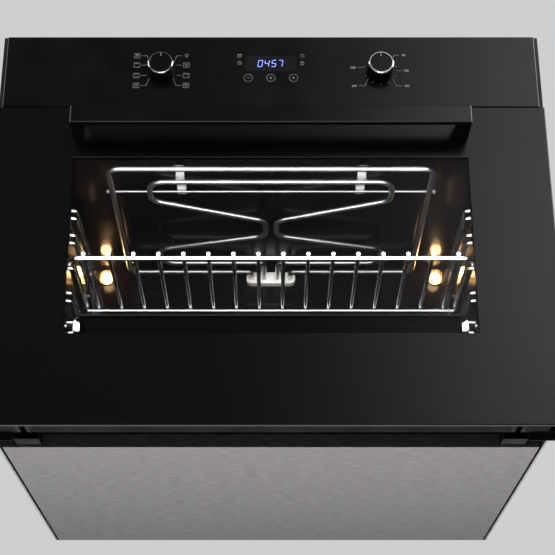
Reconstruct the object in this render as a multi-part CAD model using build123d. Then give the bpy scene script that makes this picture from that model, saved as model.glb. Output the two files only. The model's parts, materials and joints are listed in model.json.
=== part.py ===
from build123d import *
import os

# Built-in electric oven, compact 45 cm class, as separate pieces.
#
# Millimetres. X runs to the right, Y to the back and Z up. In this file a depth is counted from
# the closed door's front face (depth 0), and save() shifts it so that the origin lies at the
# middle of the whole oven's base. Height 0 is the underside of the base plate.

os.makedirs("parts", exist_ok=True)

# ---------------------------------------------------------------- driving dimensions
FRONT_WIDTH = 595.0        # door and control panel
DOOR_HEIGHT = 360.0
PANEL_HEIGHT = 91.0
FRONT_GAP = 3.0            # under the door, and between the door and the panel
DOOR_THICKNESS = 38.0
GLASS = 4.0                # every pane
SEAL_GAP = 4.0             # between the closed door and the front frame
FLANGE_LAP = 17.5          # how far the flange stands out past the casing, each side
FLANGE_SHEET = 1.2
FLANGE_BAR = 10.0          # cross bars of the flange above the cavity
CASING_SHEET = 1.0
CASING_DEPTH = 445.0       # flange front to back panel
CASING_DROP = 12.0         # casing top below panel top
REAR_COVER_DEPTH = 43.0
REAR_COVER_LIFT = 60.0     # rear cover above the base
BASE_SETBACK = 24.0        # base plate's front edge behind the flange
BASE_GROOVE = 3.7          # base plate's edge to the casing's hem

WALL_SPACE = 39.0          # casing sheet to cavity sheet, each side
CAVITY_SHEET = 1.0
CAVITY_FLOOR_Z = 90.0
CAVITY_TOP_LAP = 10.0      # door top above the cavity ceiling
REAR_SPACE = 76.0          # cavity back wall to the back panel's outer face
HINGE_RECESS = 45.0        # height of the open recess below the cavity front
INSULATION = 18.0

HINGE_DEPTH = 20.0         # door hinge axis
HINGE_HEIGHT = 18.0
HINGE_INSET = 22.0         # middle of each hinge inside the door's side column
HINGE_PIN_R = 3.0
HINGE_RUN = 0.05           # radial clearance of the pin in the hook
HOOK_WIDTH = 4.0
HINGE_CASE_WIDTH = 14.0

COLUMN_WIDTH = 26.0        # the door's side columns
HANDLE_REACH = 38.0
HANDLE_BAR = 7.0           # bar thickness
HANDLE_HEIGHT = 20.0
HANDLE_LENGTH = 423.0
HANDLE_DROP = 20.0         # below the door's top edge
SUPPORT_WIDTH = 16.0
SCREW_R = 2.0
SCREW_CLEARANCE = 0.3

ELEMENT_R = 3.25           # heating tubes
ELEMENT_DROP = 18.0        # tube plane below the ceiling
SUPPORT_ROD_R = 1.5
HANGER_X = 105.5
HANGER_DROP = 9.0          # hanger strips below the ceiling
HANGER_WIDTH = 10.0
HANGER_SHEET = 1.2
LAMP_R = 11.0
FAN_R = 66.0
FAN_COVER_DEPTH = 18.0
SHAFT_R = 4.0
SHAFT_CLEARANCE = 0.6

RACK_WIRE_R = 1.8
RACK_STANDOFF = 23.0       # rack wires to the cavity's side wall
RACK_PAIR = 9.3            # the two wires of one level
LEVELS = (38.0, 76.7, 115.2, 145.6, 175.6)   # lower wire of each level above the floor
SHELF_LEVEL = 2            # level that holds the wire shelf
TRAY_LEVEL = 0
SHELF_R = 2.5
SHELF_PITCH = 27.06
SHELF_SIDE = 17.0          # frame wire to the first cross wire
MIDDLE_BARS = (0.46, 0.82)  # shares of the shelf's depth
TRAY_DEPTH = 34.0
TRAY_SHEET = 1.0

KNOB_X = 120.7
KNOB_RISE = 46.8           # dial axis above the panel's lower edge
KNOB_R = 14.5
KNOB_LENGTH = 16.0
SPINDLE_R = 3.0
SWITCH_SIZE = (38.0, 34.0)      # width and height of the function switch
THERMOSTAT_SIZE = (44.0, 40.0)
SPINDLE_RUN = 0.05
DISPLAY_WIDTH = 60.0
DISPLAY_HEIGHT = 30.0
DISPLAY_RISE = 9.0         # display's middle above the dial axes
PANEL_GLASS_INSET = 4.5    # carrier past the glass, each side
PANEL_SETBACK = 5.0        # panel glass front behind the door's front face

SCREW_PITCH_Z = 275.0      # flange screw holes, top to bottom
SCREW_Z0 = 70.0            # lower pair above the base
FLANGE_HOLE_R = 2.25
GLAND_X = 190.0
GLAND_Z0 = 9.0             # cable gland's mouth above the base
GLAND_NUT = 8.0
GLAND_BORE_R = 5.0
GLAND_LENGTH = 18.0
TERMINAL_WIDTH = 80.0
TERMINAL_DEPTH = 30.0
TERMINAL_HEIGHT = 40.0

# ---------------------------------------------------------------- places worked out from them
HALF_FRONT = FRONT_WIDTH / 2
DOOR_Z0 = FRONT_GAP
DOOR_Z1 = DOOR_Z0 + DOOR_HEIGHT
PANEL_Z0 = DOOR_Z1 + FRONT_GAP
PANEL_Z1 = PANEL_Z0 + PANEL_HEIGHT
FLANGE_D = DOOR_THICKNESS + SEAL_GAP
FRAME_BACK_D = FLANGE_D + FLANGE_SHEET
BACK_D = FLANGE_D + CASING_DEPTH
REAR_D = BACK_D + REAR_COVER_DEPTH
CASING_HALF = HALF_FRONT - FLANGE_LAP
CASING_TOP = PANEL_Z1 - CASING_DROP
CAVITY_HALF = CASING_HALF - CASING_SHEET - WALL_SPACE - CAVITY_SHEET
CEILING_Z = DOOR_Z1 - CAVITY_TOP_LAP
CAVITY_BACK_D = BACK_D - REAR_SPACE
FRAME_HALF = CASING_HALF - 18.0
FRAME_TOP = DOOR_Z1 - 3.0       # top of the cavity's front frame
HANDLE_Z1 = DOOR_Z1 - HANDLE_DROP
HANDLE_Z0 = HANDLE_Z1 - HANDLE_HEIGHT
HANDLE_SCREW_X = HANDLE_LENGTH / 2 - 5.5
ELEMENT_Z = CEILING_Z - ELEMENT_DROP
BLOCK_HALF = 8.0                # half the heating tubes' mount block
FAN_Z = (CAVITY_FLOOR_Z + ELEMENT_Z - BLOCK_HALF) / 2
RACK_X = CAVITY_HALF - RACK_STANDOFF
KNOB_Z = PANEL_Z0 + KNOB_RISE
PANEL_GLASS_BACK = PANEL_SETBACK + GLASS
DISPLAY_Z = KNOB_Z + DISPLAY_RISE
MID_D = (REAR_D - HANDLE_REACH) / 2
TINY = 0.2                 # assembly gap between loose fits


# ---------------------------------------------------------------- helpers
def save(name, *solids):
    """Write one node, moved so that the oven's middle depth is Y 0."""
    shape = solids[0] if len(solids) == 1 else Compound(children=list(solids))
    export_step(Pos(0, -MID_D, 0) * shape, "parts/" + name + ".step")


def block(x0, x1, d0, d1, z0, z1):
    """Box between two corners."""
    return Pos((x0 + x1) / 2, (d0 + d1) / 2, (z0 + z1) / 2) * Box(x1 - x0, d1 - d0, z1 - z0)


def rod_x(x0, x1, d, z, radius):
    return Pos((x0 + x1) / 2, d, z) * Rot(0, 90, 0) * Cylinder(radius, x1 - x0)


def rod_d(x, d0, d1, z, radius):
    return Pos(x, (d0 + d1) / 2, z) * Rot(90, 0, 0) * Cylinder(radius, d1 - d0)


def rod_z(x, d, z0, z1, radius):
    return Pos(x, d, (z0 + z1) / 2) * Cylinder(radius, z1 - z0)


def tube(points, radii, radius):
    """Round wire or heating tube along straight runs joined by arcs."""
    path = FilletPolyline(*points, radius=radii)
    return sweep(Plane(origin=path @ 0, z_dir=path % 0) * Circle(radius), path=path)


def mirrored(shape):
    return mirror(shape, Plane.YZ)


def pair(shape):
    """The piece and its mirror image, as two solids."""
    return shape, mirrored(shape)


def join(first, *others):
    for other in others:
        first = first + other
    return first


def row(step, reach):
    """Evenly spaced places either side of the middle, none past the reach."""
    count = int(reach / step)
    return [step * n for n in range(-count, count + 1)]


# ---------------------------------------------------------------- casing
def base_plate():
    half = CASING_HALF - 2 * CASING_SHEET - BASE_GROOVE + 1.0
    front = FLANGE_D + BASE_SETBACK
    back = BACK_D - CASING_SHEET
    plate = block(-half, half, front, back, 0, CASING_SHEET)
    lip = block(-half, half, front, front + CASING_SHEET, CASING_SHEET, 14)
    for side in (-half, half - CASING_SHEET):
        lip = lip + block(side, side + CASING_SHEET, front, back, CASING_SHEET, 14)
    return plate + lip


def side_panel():
    outer = CASING_HALF
    sheet = block(outer - CASING_SHEET, outer, FRAME_BACK_D, BACK_D - CASING_SHEET, 0, CASING_TOP)
    hem = block(outer - 2 * CASING_SHEET, outer - CASING_SHEET, FRAME_BACK_D, BACK_D - CASING_SHEET,
                0, 8)
    shelf = block(outer - 15, outer - CASING_SHEET, FRAME_BACK_D, BACK_D - CASING_SHEET,
                  CASING_TOP - 2 * CASING_SHEET, CASING_TOP - CASING_SHEET)
    return join(sheet, hem, shelf)


def top_cover():
    inner = CASING_HALF - CASING_SHEET
    cover = block(-inner, inner, FRAME_BACK_D, BACK_D - CASING_SHEET, CASING_TOP - CASING_SHEET,
                  CASING_TOP)
    slots = [Pos(x, BACK_D - 60, CASING_TOP) * Box(6, 60, 10) for x in row(20, CASING_HALF - 170)]
    return cover - slots


def back_panel():
    return block(-CASING_HALF, CASING_HALF, BACK_D - CASING_SHEET, BACK_D, 0, CASING_TOP)


def rear_cover():
    half = CASING_HALF - 30
    top = CASING_TOP - 25
    shell = block(-half, half, BACK_D, REAR_D, REAR_COVER_LIFT, top)
    shell = fillet(shell.edges().filter_by(Axis.Z).group_by(Axis.Y)[-1], 12)
    room = block(-half + 2, half - 2, BACK_D - 1, REAR_D - 2, REAR_COVER_LIFT + 2, top - 2)
    room = fillet(room.edges().filter_by(Axis.Z).group_by(Axis.Y)[-1], 10)
    shell = shell - room
    slots = [Pos(x, REAR_D, top - 45) * Box(5, 20, 50) for x in row(15, half - 90)]
    return shell - slots


def mounting_flange():
    plate = block(-HALF_FRONT, HALF_FRONT, FLANGE_D, FRAME_BACK_D, 0, CASING_TOP)
    plate = plate - block(-FRAME_HALF, FRAME_HALF, FLANGE_D - 1, FRAME_BACK_D + 1, -1, FRAME_TOP)
    plate = plate - block(-FRAME_HALF, FRAME_HALF, FLANGE_D - 1, FRAME_BACK_D + 1,
                          FRAME_TOP + FLANGE_BAR, CASING_TOP - FLANGE_BAR)
    for x in (-HALF_FRONT + FLANGE_LAP / 2, HALF_FRONT - FLANGE_LAP / 2):
        for z in (SCREW_Z0, SCREW_Z0 + SCREW_PITCH_Z):
            plate = plate - rod_d(x, FLANGE_D - 2, FRAME_BACK_D + 2, z, FLANGE_HOLE_R)
    return plate


# ---------------------------------------------------------------- cavity
def cavity_front_frame():
    plate = block(-FRAME_HALF, FRAME_HALF, FLANGE_D, FRAME_BACK_D, HINGE_RECESS, FRAME_TOP)
    hole = block(-CAVITY_HALF, CAVITY_HALF, FLANGE_D - 1, FRAME_BACK_D + 1, CAVITY_FLOOR_Z, CEILING_Z)
    hole = fillet(hole.edges().filter_by(Axis.Y), 8)
    return plate - hole


def door_seal():
    half = CAVITY_HALF + 7
    z0 = CAVITY_FLOOR_Z - 7
    z1 = CEILING_Z + 3.5
    outer = block(-half - 2.5, half + 2.5, DOOR_THICKNESS + TINY, FLANGE_D, z0 - 2.5, z1 + 2.5)
    outer = fillet(outer.edges().filter_by(Axis.Y), 12)
    inner = block(-half + 2.5, half - 2.5, DOOR_THICKNESS - 1, FLANGE_D + 1, z0 + 2.5, z1 - 2.5)
    inner = fillet(inner.edges().filter_by(Axis.Y), 8)
    return outer - inner


def cavity_floor():
    plate = block(-CAVITY_HALF, CAVITY_HALF, FRAME_BACK_D, CAVITY_BACK_D,
                  CAVITY_FLOOR_Z - CAVITY_SHEET, CAVITY_FLOOR_Z)
    return plate


def cavity_ceiling():
    return block(-CAVITY_HALF, CAVITY_HALF, FRAME_BACK_D, CAVITY_BACK_D,
                 CEILING_Z, CEILING_Z + CAVITY_SHEET)


def cavity_side_wall():
    return block(CAVITY_HALF, CAVITY_HALF + CAVITY_SHEET, FRAME_BACK_D, CAVITY_BACK_D,
                 CAVITY_FLOOR_Z - CAVITY_SHEET, CEILING_Z + CAVITY_SHEET)


def cavity_back_wall():
    side = CAVITY_HALF + CAVITY_SHEET
    wall = block(-side, side, CAVITY_BACK_D, CAVITY_BACK_D + CAVITY_SHEET,
                 CAVITY_FLOOR_Z - CAVITY_SHEET, CEILING_Z + CAVITY_SHEET)
    wall = wall - rod_d(0, CAVITY_BACK_D - 2, CAVITY_BACK_D + 3, FAN_Z, SHAFT_R + SHAFT_CLEARANCE)
    for x in (-LAMP_X, LAMP_X):
        wall = wall - rod_d(x, CAVITY_BACK_D - 2, CAVITY_BACK_D + 3, LAMP_Z, LAMP_R - 2)
    for x in TERMINAL_X:
        wall = wall - rod_d(x, CAVITY_BACK_D - 2, CAVITY_BACK_D + 3, ELEMENT_Z, ELEMENT_R + TINY)
    return wall


def insulation():
    """Mineral wool slabs over, under and beside the cavity."""
    side = CAVITY_HALF + CAVITY_SHEET
    top = CEILING_Z + CAVITY_SHEET
    bottom = CAVITY_FLOOR_Z - CAVITY_SHEET
    front = FRAME_BACK_D + 2
    back = CAVITY_BACK_D
    upper = block(-side, side, front, back, top, top + INSULATION)
    lower = block(-side, side, front, back, bottom - 2 * INSULATION, bottom - INSULATION)
    left = block(-side - INSULATION, -side, front, back, bottom, top)
    right = block(side, side + INSULATION, front, back, bottom, top)
    return upper, lower, left, right


# ---------------------------------------------------------------- heating
LAMP_X = CAVITY_HALF - 18.0
LAMP_Z = CEILING_Z - 14.0
TERMINAL_X = (-25.0, -9.0, 9.0, 25.0)
LOOP_FRONT = FLANGE_D + 48.5
LOOP_BACK = CAVITY_BACK_D - 30.0
LOOP_HALF = CAVITY_HALF - 53.0
TUBE_TOP = ELEMENT_Z + ELEMENT_R
INNER_FRONT = LOOP_FRONT + 31.5
SUPPORT_ROD_D = LOOP_FRONT + 65.5


def element_tail(x):
    """A tube's end, through the mount block and the back wall."""
    return (x, CAVITY_BACK_D + 12, ELEMENT_Z)


def top_element_outer():
    x = TERMINAL_X[3]
    points = [element_tail(-x), (-x, LOOP_BACK, ELEMENT_Z), (-LOOP_HALF, LOOP_BACK, ELEMENT_Z),
              (-LOOP_HALF, LOOP_FRONT, ELEMENT_Z), (LOOP_HALF, LOOP_FRONT, ELEMENT_Z),
              (LOOP_HALF, LOOP_BACK, ELEMENT_Z), (x, LOOP_BACK, ELEMENT_Z), element_tail(x)]
    return tube(points, [7, 14, 14, 14, 14, 7], ELEMENT_R)


def top_element_inner():
    """Zigzag tube inside the outer loop, the same on both halves."""
    outer = LOOP_HALF - 44.0
    inner = 6.6
    front = INNER_FRONT
    back = LOOP_BACK - 29.0
    middle = (front + back) / 2 + 10
    right = [(outer, front), (outer, front + 48), (inner, middle - 21), (inner, middle + 21),
             (outer, back - 43), (outer, back), (TERMINAL_X[2], back)]
    left = [(-x, d) for x, d in reversed(right)]
    points = [element_tail(TERMINAL_X[1])]
    points = points + [(x, d, ELEMENT_Z) for x, d in left + right]
    points.append(element_tail(TERMINAL_X[2]))
    turns = [19, 17, 17, 17, 17, 19]
    return tube(points, [7] + turns + turns[::-1] + [7], ELEMENT_R)


def element_mount_block():
    half = TERMINAL_X[3] + 7.5
    bar = block(-half, half, CAVITY_BACK_D - 10, CAVITY_BACK_D, ELEMENT_Z - BLOCK_HALF,
                ELEMENT_Z + BLOCK_HALF)
    bar = fillet(bar.edges().filter_by(Axis.Y), 7)
    for x in TERMINAL_X:
        bar = bar - rod_d(x, CAVITY_BACK_D - 12, CAVITY_BACK_D + 2, ELEMENT_Z, ELEMENT_R + TINY)
    return bar


def element_hanger():
    """Right-hand flat strip under the ceiling that reaches down to the front tubes and the rod."""
    x0 = HANGER_X - HANGER_WIDTH / 2
    x1 = HANGER_X + HANGER_WIDTH / 2
    front = LOOP_FRONT + 9.5
    back = SUPPORT_ROD_D + 15
    z0 = CEILING_Z - HANGER_DROP
    z1 = z0 + HANGER_SHEET
    strip = block(x0, x1, front, back, z0, z1)
    lip = block(x0, x1, LOOP_FRONT, front + HANGER_SHEET, TUBE_TOP, TUBE_TOP + HANGER_SHEET)
    riser = block(x0, x1, front, front + HANGER_SHEET, TUBE_TOP, z1)
    leg = block(x0, x1, back - HANGER_SHEET, back, z0, CEILING_Z)
    foot = block(x0, x1, back - 12, back, CEILING_Z - HANGER_SHEET, CEILING_Z)
    strip = join(strip, lip, riser, leg, foot)
    for d, z in ((INNER_FRONT, TUBE_TOP), (SUPPORT_ROD_D, TUBE_TOP + 2 * SUPPORT_ROD_R)):
        strip = strip + block(x0, x1, d - HANGER_SHEET / 2, d + HANGER_SHEET / 2, z, z1)
    return strip


def element_support_rod():
    """Rod across the top of the tubes, with a ball on each end."""
    half = LOOP_HALF + 6.5
    z = TUBE_TOP + SUPPORT_ROD_R
    rod = rod_x(-half, half, SUPPORT_ROD_D, z, SUPPORT_ROD_R)
    ends = [Pos(x, SUPPORT_ROD_D, z) * Sphere(2 * SUPPORT_ROD_R) for x in (-half, half)]
    return join(rod, *ends)


def bottom_element():
    half = CAVITY_HALF - 45
    z = CAVITY_FLOOR_Z - CAVITY_SHEET - 8
    back = CAVITY_BACK_D
    front = FLANGE_D + 45
    points = [(-20, back + 8, z), (-20, back - 45, z), (-half, back - 45, z), (-half, front, z),
              (half, front, z), (half, back - 45, z), (20, back - 45, z), (20, back + 8, z)]
    return tube(points, [8, 20, 20, 20, 20, 8], ELEMENT_R)


def ring_element():
    ring = Pos(0, CAVITY_BACK_D - 11, FAN_Z) * Rot(90, 0, 0) * Torus(FAN_R + 12, ELEMENT_R)
    return ring


# ---------------------------------------------------------------- lamps
def lamp_holder(x):
    cup = rod_d(x, CAVITY_BACK_D + CAVITY_SHEET, CAVITY_BACK_D + 26, LAMP_Z, LAMP_R + 1)
    bore = rod_d(x, CAVITY_BACK_D, CAVITY_BACK_D + 22, LAMP_Z, LAMP_R - 2)
    return cup - bore


def lamp_dome(x):
    """Screw-in glass cap on the cavity side."""
    collar = rod_d(x, CAVITY_BACK_D - 3, CAVITY_BACK_D, LAMP_Z, LAMP_R)
    ball = Pos(x, CAVITY_BACK_D - 3, LAMP_Z) * Sphere(LAMP_R - 1.5)
    room = Pos(x, CAVITY_BACK_D - 3, LAMP_Z) * Sphere(LAMP_R - 3)
    bore = rod_d(x, CAVITY_BACK_D - 3, CAVITY_BACK_D + 8, LAMP_Z, LAMP_R - 3)
    front = block(x - LAMP_R, x + LAMP_R, CAVITY_BACK_D - 3 - LAMP_R, CAVITY_BACK_D - 3,
                  LAMP_Z - LAMP_R, LAMP_Z + LAMP_R)
    return collar + (ball & front) - room - bore


def lamp_bulb(x):
    glass = Pos(x, CAVITY_BACK_D - 2, LAMP_Z) * Sphere(5.5)
    neck = rod_d(x, CAVITY_BACK_D - 2, CAVITY_BACK_D + 22, LAMP_Z, 4.5)
    return glass + neck


# ---------------------------------------------------------------- fans
COOLING_D = CAVITY_BACK_D - 90
COOLING_Z = CEILING_Z + CAVITY_SHEET + INSULATION + 4.0
COOLING_R = 48.0


def fan_cover():
    """Pressed cover over the convection fan, with slots round its middle."""
    half = FAN_R + 22
    depth = FAN_COVER_DEPTH
    cover = block(-half, half, CAVITY_BACK_D - depth, CAVITY_BACK_D, FAN_Z - half, FAN_Z + half)
    cover = fillet(cover.edges().filter_by(Axis.Y), 22)
    cover = chamfer(cover.faces().sort_by(Axis.Y)[0].edges(), 4)
    room = block(-half + 1.2, half - 1.2, CAVITY_BACK_D - depth + 1.2, CAVITY_BACK_D + 1,
                 FAN_Z - half + 1.2, FAN_Z + half - 1.2)
    room = fillet(room.edges().filter_by(Axis.Y), 20.8)
    room = chamfer(room.faces().sort_by(Axis.Y)[0].edges(), 4)
    cover = cover - room
    for radius, count in ((16, 8), (30, 14), (44, 20)):
        for spot in PolarLocations(radius, count):
            hole = Rot(90, 0, 0) * spot * Cylinder(3.2, 12)
            cover = cover - Pos(0, CAVITY_BACK_D - depth, FAN_Z) * hole
    return cover


def blades(count, inner, outer, height, thickness):
    """Radial blades about Z, standing on Z 0."""
    blade = Pos((inner + outer) / 2, 0, height / 2) * Box(outer - inner, thickness, height)
    return [Rot(0, 0, 360 / count * n) * blade for n in range(count)]


def convection_fan_wheel():
    """Disc with blades on the cavity side, on a shaft that runs back to the motor."""
    wheel = Cylinder(FAN_R, 1.2, align=(Align.CENTER, Align.CENTER, Align.MAX))
    wheel = join(wheel, *blades(12, 22, FAN_R - 1, 9, 1.2))
    hub = Pos(0, 0, 5) * Cylinder(9, 10)
    shaft = Cylinder(SHAFT_R, 46, align=(Align.CENTER, Align.CENTER, Align.MAX))
    return Pos(0, CAVITY_BACK_D - 4, FAN_Z) * Rot(90, 0, 0) * join(wheel, hub, shaft)


def convection_motor():
    body = rod_d(0, CAVITY_BACK_D + 24, BACK_D - 8, FAN_Z, 27)
    core = block(-34, 34, CAVITY_BACK_D + 30, CAVITY_BACK_D + 52, FAN_Z - 20, FAN_Z + 20)
    foot = block(-50, 50, CAVITY_BACK_D + 20, CAVITY_BACK_D + 24, FAN_Z - 10, FAN_Z + 10)
    post_l = block(-50, -44, CAVITY_BACK_D + CAVITY_SHEET, CAVITY_BACK_D + 20, FAN_Z - 10, FAN_Z + 10)
    motor = join(body, core, foot, post_l, mirrored(post_l))
    return motor - rod_d(0, CAVITY_BACK_D, CAVITY_BACK_D + 44, FAN_Z, SHAFT_R + SHAFT_CLEARANCE / 10)


def cooling_fan_housing():
    """Scroll box over the cavity that blows forward under the control panel."""
    half = COOLING_R + 12
    height = 36.0
    floor_z = COOLING_Z - 3
    box = block(-half, half, COOLING_D - half, COOLING_D + half, floor_z, floor_z + height)
    room = block(-half + 1.2, half - 1.2, COOLING_D - half + 1.2, COOLING_D + half - 1.2,
                 floor_z + 1.2, floor_z + height - 1.2)
    box = box - room
    box = box - block(-half + 8, half - 8, COOLING_D - half - 2, COOLING_D - half + 3,
                      floor_z + 4, floor_z + height - 4)
    box = box - rod_z(0, COOLING_D, floor_z + height - 4, floor_z + height + 2, COOLING_R - 14)
    return box


def cooling_fan_wheel():
    wheel = join(Cylinder(COOLING_R, 1.2, align=(Align.CENTER, Align.CENTER, Align.MIN)),
                 *blades(24, COOLING_R - 12, COOLING_R - 1, 22, 1.0))
    hub = Pos(0, 0, 11) * Cylinder(8, 22)
    shaft = Cylinder(2.5, 44, align=(Align.CENTER, Align.CENTER, Align.MIN))
    return Pos(0, COOLING_D, COOLING_Z + 2) * join(wheel, hub, shaft)


def cooling_fan_motor():
    """Hangs over the wheel on a bridge that rests on the housing."""
    top = COOLING_Z - 3 + 36
    motor = rod_z(0, COOLING_D, top + 2, top + 20, 17)
    bridge = block(-44, 44, COOLING_D - 8, COOLING_D + 8, top, top + 2)
    return join(bridge, motor) - rod_z(0, COOLING_D, top - 1, top + 16, 2.5 + SHAFT_CLEARANCE / 10)


# ---------------------------------------------------------------- racks, shelf and tray
RACK_FRONT = FLANGE_D + 26.0
RACK_BACK = CAVITY_BACK_D - 16.0


def side_rack():
    """Right-hand rack: paired wires for each level, welded to two posts beside the wall."""
    wall_x = CAVITY_HALF - 6
    low = CAVITY_FLOOR_Z + 18
    high = CAVITY_FLOOR_Z + LEVELS[-1] + RACK_PAIR + 14
    posts = [rod_z(wall_x, d, low, high, 2.5) for d in (RACK_FRONT + 20, RACK_BACK - 20)]
    rails = [rod_d(wall_x, RACK_FRONT + 20, RACK_BACK - 20, z, 2.5) for z in (low, high)]
    rack = join(posts[0], posts[1], *rails)
    for level in LEVELS:
        for z in (CAVITY_FLOOR_Z + level, CAVITY_FLOOR_Z + level + RACK_PAIR):
            points = [(wall_x, RACK_FRONT + 20, z), (RACK_X, RACK_FRONT, z), (RACK_X, RACK_BACK, z),
                      (wall_x, RACK_BACK - 10, z)]
            rack = rack + tube(points, [5, 3], RACK_WIRE_R)
    for d in (RACK_FRONT + 40, RACK_BACK - 40):
        rack = rack + rod_x(wall_x, CAVITY_HALF - TINY / 2, d, high, 3)
        rack = rack + rod_x(wall_x, CAVITY_HALF - TINY / 2, d, low, 3)
    return rack


SHELF_Z = CAVITY_FLOOR_Z + LEVELS[SHELF_LEVEL] + RACK_WIRE_R + SHELF_R + TINY
SHELF_FRONT = FLANGE_D + 18.0
SHELF_BACK = CAVITY_BACK_D - FAN_COVER_DEPTH - 5.0
SHELF_HALF = RACK_X + 4.0
SHELF_WIRES = round(2 * (SHELF_HALF - SHELF_SIDE) / SHELF_PITCH) + 1


def wire_shelf():
    """Frame wire with rounded corners, a middle bar and the wires lying across them."""
    corners = [(0, SHELF_FRONT), (SHELF_HALF, SHELF_FRONT), (SHELF_HALF, SHELF_BACK),
               (0, SHELF_BACK)]
    half = tube([(x, d, SHELF_Z) for x, d in corners], [14, 14], SHELF_R)
    shelf = half + mirrored(half)
    for share in MIDDLE_BARS:
        d = SHELF_FRONT + share * (SHELF_BACK - SHELF_FRONT)
        shelf = shelf + rod_x(-SHELF_HALF, SHELF_HALF, d, SHELF_Z, SHELF_R - 0.3)
    first = -SHELF_PITCH * (SHELF_WIRES - 1) / 2
    for n in range(SHELF_WIRES):
        x = first + n * SHELF_PITCH
        shelf = shelf + rod_d(x, SHELF_FRONT - 2.5, SHELF_BACK + 2.5, SHELF_Z + 1.7 * SHELF_R, 2.3)
    return shelf


RAIL_Z = CAVITY_FLOOR_Z + LEVELS[TRAY_LEVEL]
TRAY_RIM_Z = RAIL_Z + 17.0
TRAY_HALF = RACK_X - 5.5


def baking_tray():
    """Enamelled pan with sloping walls and a flat rim."""
    front = FLANGE_D + 20
    back = SHELF_BACK
    mid = (front + back) / 2
    width = 2 * TRAY_HALF
    length = back - front
    rim = 8.0
    slope = 12.0

    def pan(shrink, z_top, z_floor):
        top = Pos(0, mid, z_top) * Rectangle(width - 2 * (rim + shrink), length - 2 * (rim + shrink))
        floor = Pos(0, mid, z_floor) * Rectangle(width - 2 * (rim + slope + shrink),
                                                 length - 2 * (rim + slope + shrink))
        return loft([floor.face(), top.face()])

    z0 = TRAY_RIM_Z - TRAY_DEPTH
    plate = Pos(0, mid, TRAY_RIM_Z - TRAY_SHEET / 2) * Box(width, length, TRAY_SHEET)
    plate = fillet(plate.edges().filter_by(Axis.Z), 14)
    body = plate + pan(0, TRAY_RIM_Z - TRAY_SHEET, z0)
    return body - pan(1.2, TRAY_RIM_Z + TRAY_SHEET, z0 + 1.2)


def telescopic_rail():
    """Right-hand runner: outer channel on the lowest level, inner slide and front stop."""
    x = RACK_X
    z0 = RAIL_Z + RACK_WIRE_R + TINY
    back = RACK_BACK - 14
    front = RACK_FRONT + 15
    channel = block(x - 11, x + 2, front, back, z0, z0 + 1.2)
    channel = channel + block(x - 3, x + 2, front, back, z0, z0 + 4.6)
    slide = block(x - 11, x - 5, front - 8, back - 10, z0 + 1.2, TRAY_RIM_Z - TRAY_SHEET)
    arm = block(x - 6.5, x - 5, front - 20, front - 7, z0 + 1.2, z0 + 6)
    stop = block(x - 6.5, x + 0.5, front - 23, front - 19, z0 - 4, z0 + 6)
    return join(channel, slide, arm, stop)


# ---------------------------------------------------------------- controls
CARRIER_WALL = 2.0
CARRIER_BACK = FLANGE_D
SPINDLE_FRONT = PANEL_SETBACK - KNOB_LENGTH + 4.0
SWITCH_D = PANEL_GLASS_BACK + CARRIER_WALL + 3.0


def control_panel_glass():
    half = HALF_FRONT - PANEL_GLASS_INSET
    glass = block(-half, half, PANEL_SETBACK, PANEL_GLASS_BACK, PANEL_Z0, PANEL_Z1 - 1)
    glass = chamfer(glass.faces().sort_by(Axis.Y)[0].edges(), 0.8)
    for x in (-KNOB_X, KNOB_X):
        glass = glass - rod_d(x, PANEL_SETBACK - 2, PANEL_GLASS_BACK + 2, KNOB_Z, SPINDLE_R + 2)
    return glass


def control_panel_carrier():
    tray = block(-HALF_FRONT, HALF_FRONT, PANEL_GLASS_BACK, CARRIER_BACK, PANEL_Z0, PANEL_Z1)
    tray = tray - block(-HALF_FRONT + CARRIER_WALL, HALF_FRONT - CARRIER_WALL,
                        PANEL_GLASS_BACK + CARRIER_WALL, CARRIER_BACK + 1,
                        PANEL_Z0 + CARRIER_WALL, PANEL_Z1 - CARRIER_WALL)
    for x in (-KNOB_X, KNOB_X):
        tray = tray - rod_d(x, PANEL_GLASS_BACK - 1, CARRIER_BACK, KNOB_Z, SPINDLE_R + 2)
    room = DISPLAY_WIDTH / 2 + 1
    tray = tray - block(-room, room, PANEL_GLASS_BACK - 1, PANEL_GLASS_BACK + 4,
                        DISPLAY_Z - DISPLAY_HEIGHT, DISPLAY_Z + DISPLAY_HEIGHT / 2 + 1)
    return tray


def display_module():
    return block(-DISPLAY_WIDTH / 2, DISPLAY_WIDTH / 2, PANEL_GLASS_BACK + TINY, SWITCH_D,
                 DISPLAY_Z - DISPLAY_HEIGHT / 2, DISPLAY_Z + DISPLAY_HEIGHT / 2)


def control_board():
    """Circuit board behind the display, with one sensor pad for each touch key."""
    board = block(-75, 75, SWITCH_D, SWITCH_D + 1.6, PANEL_Z0 + 8, PANEL_Z1 - 8)
    keys = [rod_d(x, PANEL_GLASS_BACK + TINY, SWITCH_D, KNOB_Z - 10, 3.5) for x in (-25, 0, 25)]
    parts = block(-60, -30, SWITCH_D + 1.6, SWITCH_D + 16, PANEL_Z0 + 12, PANEL_Z0 + 40)
    plug = block(20, 55, SWITCH_D + 1.6, SWITCH_D + 12, PANEL_Z0 + 12, PANEL_Z0 + 24)
    return join(board, parts, plug, *keys)


def rotary_switch(x, size):
    """Switch or thermostat body behind the carrier, with the collar that guides the spindle."""
    width, height = size
    body = block(x - width / 2, x + width / 2, SWITCH_D, CARRIER_BACK - 2, KNOB_Z - height / 2,
                 KNOB_Z + height / 2)
    collar = rod_d(x, PANEL_GLASS_BACK + CARRIER_WALL, SWITCH_D, KNOB_Z, 7)
    return body + collar - rod_d(x, PANEL_GLASS_BACK, SWITCH_D + 14, KNOB_Z, SPINDLE_R + SPINDLE_RUN)


def spindle(x):
    return rod_d(x, SPINDLE_FRONT, SWITCH_D + 13, KNOB_Z, SPINDLE_R)


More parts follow.
